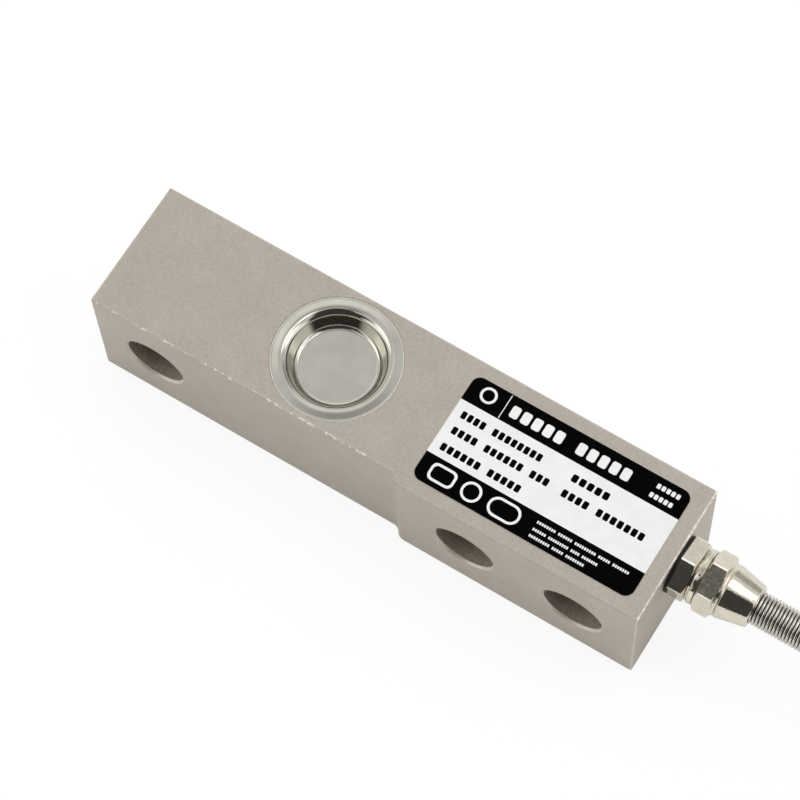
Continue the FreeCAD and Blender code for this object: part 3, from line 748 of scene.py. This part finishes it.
def makeGlandBody():
    b = glandSet["body"]
    over, slack = glandSet["over"], glandSet["slack"]
    corner = b["across"] / math.sqrt(3)
    flat = b["across"] / 2
    start, end = b["hexStart"], b["hexEnd"]
    envelope = [(start - over, 0), (start - over, corner + over), (end - b["run"], corner + slack),
                (end, flat - b["inset"]), (end, 0)]
    body = hexagonBar("glandBody", start, end, b["across"], b["turn"], envelope)
    joinShape(body, turnOnAxis("bodyRing", barProfile(start - over, end + over, b["ring"])), "DIFFERENCE")
    shoulder = start + b["shoulder"]
    core = [(b["stub"], b["bore"]), (b["stub"], b["stubRadius"]), (shoulder, b["stubRadius"]),
            (shoulder, b["threadRadius"]), (b["threadEnd"], b["threadRadius"]), (b["threadEnd"], b["pocket"]),
            (b["pocketStart"], b["pocket"]), (b["pocketStart"], b["bore"]), (b["stub"], b["bore"])]
    joinShape(body, turnOnAxis("bodyCore", core), "UNION")
    finishHexagon(body, "gland_body")


def makeDomeNut():
    n = glandSet["nut"]
    corner = n["across"] / math.sqrt(3) + glandSet["slack"]
    flat = n["across"] / 2
    start, end = n["collarEnd"], n["hexEnd"]
    envelope = [(start, 0), (start, flat - n["inset"]), (start + n["run"], corner), (end - n["run"], corner),
                (end, flat - n["inset"]), (end, 0)]
    nut = hexagonBar("glandDomeNut", start, end, n["across"], n["turn"], envelope)
    joinShape(nut, turnOnAxis("nutRing", barProfile(n["start"], n["coneEnd"], n["ring"])), "DIFFERENCE")
    base, sunk = n["base"], n["base"] - n["sink"]
    neck = end - n["tuck"]
    outer = [(n["start"], n["thread"], 0), (n["start"], n["collar"], n["collarRound"]),
             (start, n["collar"], n["collarFoot"]), (start, sunk, 0), (neck, sunk, 0), (neck, base, 0),
             (n["grooveAt"] - n["grooveRun"], base, n["grooveRound"]),
             (n["grooveAt"], base - n["groove"], n["grooveRound"]), (n["coneStart"], base, n["coneRound"]),
             (n["coneEnd"], n["lip"], n["lipRound"]), (n["coneEnd"], n["mouth"], n["mouthRound"]),
             (n["mouthStart"], n["mouth"], 0), (n["mouthStart"], n["cavity"], 0), (n["cavityStart"], n["cavity"], 0),
             (n["cavityStart"], n["thread"], 0), (n["start"], n["thread"], 0)]
    joinShape(nut, turnOnAxis("nutCore", roundedChain(outer, n["roundSteps"])), "UNION")
    finishHexagon(nut, "gland_dome_nut")


makeWasher()
makeGlandBody()
makeDomeNut()
print("gland made")


# Anti-kink spring: round wire wound close, one true helix
springSet = {"start": 146.8, "end": 173.0, "outer": 3.6, "wire": 0.58, "pitch": 0.75, "sides": 12, "steps": 44,
             "weld": 0.001, "smooth": 45}


def makeSpring():
    s = springSet
    clearSelection()
    coil = s["outer"] - s["wire"] / 2
    start = at(s["start"], glandSet["y"], glandSet["z"])
    bpy.ops.mesh.primitive_circle_add(vertices=s["sides"], radius=s["wire"] / 2 * mm, fill_type="NOTHING",
                                      location=start, rotation=(math.radians(90), 0, 0))
    spring = bpy.context.object
    spring.name = "antiKinkSpring"
    spring.data.name = "antiKinkSpring"
    bpy.ops.object.transform_apply(location=False, rotation=True, scale=True)     # it stays on the axis to be wound
    bpy.ops.object.mode_set(mode="EDIT")
    bpy.ops.mesh.select_all(action="SELECT")
    bpy.ops.transform.translate(value=(0, 0, coil * mm))
    bpy.ops.object.mode_set(mode="OBJECT")
    turns = int((s["end"] - s["start"]) / s["pitch"])
    applyModifier(spring, "SCREW", {"axis": "X", "angle": 2 * math.pi, "screw_offset": s["pitch"] * mm,
                                    "iterations": turns, "steps": s["steps"], "render_steps": s["steps"],
                                    "use_smooth_shade": True})
    bpy.ops.object.mode_set(mode="EDIT")
    bpy.ops.mesh.select_all(action="SELECT")
    bpy.ops.mesh.remove_doubles(threshold=s["weld"] * mm)
    bpy.ops.mesh.fill_holes(sides=s["sides"])
    bpy.ops.mesh.select_all(action="SELECT")
    bpy.ops.mesh.normals_make_consistent(inside=False)
    bpy.ops.object.mode_set(mode="OBJECT")
    bpy.ops.object.transform_apply(location=True, rotation=True, scale=True)
    finishPiece(spring, [finish["spring"]], "anti_kink_spring", s["smooth"], False)


makeSpring()
print("spring made")


# The inner nodes keep their CAD shape and get their finishes
innerFinish = {
    "gland_clamp_ring": "gland", "gland_grommet": "rubber", "cable_in_gland": "jacket",
    "front_strain_gauge": "gaugeFoil", "rear_strain_gauge": "gaugeFoil",
    "front_gauge_coating": "silicone", "rear_gauge_coating": "silicone", "terminal_board": "board",
    "front_gauge_leads": "tinned", "rear_gauge_leads": "tinned", "terminal_posts": "tinned",
    "trim_resistors": "chip",
    "core_wire_red": "red", "core_wire_black": "black", "core_wire_green": "green", "core_wire_white": "white",
}


def dressInner():
    for node, key in innerFinish.items():
        piece = bpy.data.objects[node]
        for slot in piece.material_slots:
            slot.material = finish[key]
        if not piece.material_slots:
            piece.data.materials.append(finish[key])


dressInner()
print("inner nodes dressed")


# Floor and light tent, in metres
stageSet = {"floorSide": 4.0, "floorDrop": 0.0002, "floor": "#F2F2F1", "floorGlow": 1.03, "seenShare": 0.85,
            "mirrorShare": 0.32, "tent": 1.03, "dark": 0.07, "dim": 0.145, "middle": 0.62, "grey": 0.55, "glow": 1.4,
            "softbox": 2.4, "topbox": 3.0, "sidebox": 1.85,
            "lamp": 2.8, "lampSize": 0.9, "lampPlace": (-0.1, 0.1, 1.0)}


def makeFloor():
    clearSelection()
    bpy.ops.mesh.primitive_plane_add(size=stageSet["floorSide"], location=(0, 0, -stageSet["floorDrop"]))
    floor = bpy.context.object
    floor.name = "paleFloor"
    material = bpy.data.materials.new("paleFloorPaint")               # matt white paint, white to the camera
    material.use_nodes = True
    tree = material.node_tree
    tree.nodes.clear()
    matt = addNode(tree, "ShaderNodeBsdfDiffuse", {"Color": linearColour(stageSet["floor"])})
    glow = addNode(tree, "ShaderNodeEmission", {"Strength": stageSet["floorGlow"]})
    ray = addNode(tree, "ShaderNodeLightPath")
    mirrored = addNode(tree, "ShaderNodeMath", {"operation": "MAXIMUM"},
                       {0: ray.outputs["Is Glossy Ray"], 1: ray.outputs["Is Transmission Ray"]})
    part = addNode(tree, "ShaderNodeMath", {"operation": "MULTIPLY", 1: stageSet["mirrorShare"]},
                   {0: mirrored.outputs[0]})
    share = addNode(tree, "ShaderNodeMath", {"operation": "MULTIPLY_ADD", 1: stageSet["seenShare"]},
                    {0: ray.outputs["Is Camera Ray"], 2: part.outputs[0]})
    mix = addNode(tree, "ShaderNodeMixShader", None,
                  {0: share.outputs[0], 1: matt.outputs[0], 2: glow.outputs[0]})
    addNode(tree, "ShaderNodeOutputMaterial", None, {"Surface": mix.outputs[0]})
    floor.data.materials.append(material)


tentPatches = [                           # direction, radius and soft edge in degrees, level
    ((-0.04, 0.04, 1.00), 10.0, 10.0, "middle"),
    ((-0.11, -0.30, 0.948), 5.0, 3.0, "dim"),
    ((-0.11, -0.88, 0.46), 22.0, 5.0, "dark"),
    ((0.36, -0.55, 0.755), 24.0, 3.0, "dark"),
    ((0.52, -0.86, 0.03), 52.0, 5.0, "dark"),
    ((0.24, 0.89, 0.38), 14.0, 7.0, "grey"),
    ((0.28, 0.37, 0.885), 9.0, 3.0, "topbox"),
    ((0.279, 0.10, 0.954), 7.0, 3.0, "topbox"),
    ((-0.68, -0.40, 0.61), 16.0, 5.0, "softbox"),
    ((0.72, 0.34, 0.60), 16.0, 5.0, "softbox"),
    ((-0.40, 0.64, 0.66), 14.0, 8.0, "glow"),
    ((-0.50, 0.29, 0.815), 7.0, 7.0, "glow"),
    ((0.95, 0.15, 0.25), 15.0, 13.0, "sidebox"),
    ((-0.55, -0.80, 0.20), 15.0, 13.0, "sidebox"),
]


def makeTent():
    world = bpy.data.worlds.new("lightTent")
    bpy.context.scene.world = world
    world.use_nodes = True
    tree = world.node_tree
    tree.nodes.clear()
    direction = addNode(tree, "ShaderNodeTexCoord").outputs["Generated"]
    level = addNode(tree, "ShaderNodeValue")
    level.outputs[0].default_value = stageSet["tent"]
    current = level.outputs[0]
    for centre, radius, edge, name in tentPatches:
        dot = addNode(tree, "ShaderNodeVectorMath",
                      {"operation": "DOT_PRODUCT", 1: Vector(centre).normalized()}, {0: direction})
        outer = math.cos(math.radians(radius + edge))
        inner = math.cos(math.radians(max(radius - edge, 0)))
        patch = addNode(tree, "ShaderNodeMapRange",
                        {"interpolation_type": "SMOOTHSTEP", "From Min": outer, "From Max": inner},
                        {"Value": dot.outputs["Value"]})
        mix = addNode(tree, "ShaderNodeMix", {"data_type": "FLOAT", 3: stageSet[name]},
                      {0: patch.outputs[0], 2: current})
        current = mix.outputs[0]
    ray = addNode(tree, "ShaderNodeLightPath")
    mix = addNode(tree, "ShaderNodeMix", {"data_type": "FLOAT", 3: 1.0},
                  {0: ray.outputs["Is Camera Ray"], 2: current})
    back = addNode(tree, "ShaderNodeBackground", None, {"Strength": mix.outputs[0]})
    addNode(tree, "ShaderNodeOutputWorld", None, {"Surface": back.outputs[0]})


def makeLamp():                           # lifts the print and the floor; polished metal does not mirror it
    data = bpy.data.lights.new("overheadLamp", "AREA")
    data.energy = stageSet["lamp"]
    data.size = stageSet["lampSize"]
    lamp = bpy.data.objects.new("overheadLamp", data)
    bpy.context.scene.collection.objects.link(lamp)
    lamp.location = stageSet["lampPlace"]
    lamp.visible_glossy = False


makeFloor()
makeTent()
makeLamp()
bpy.context.scene.view_settings.view_transform = "Standard"
print("floor and light set")
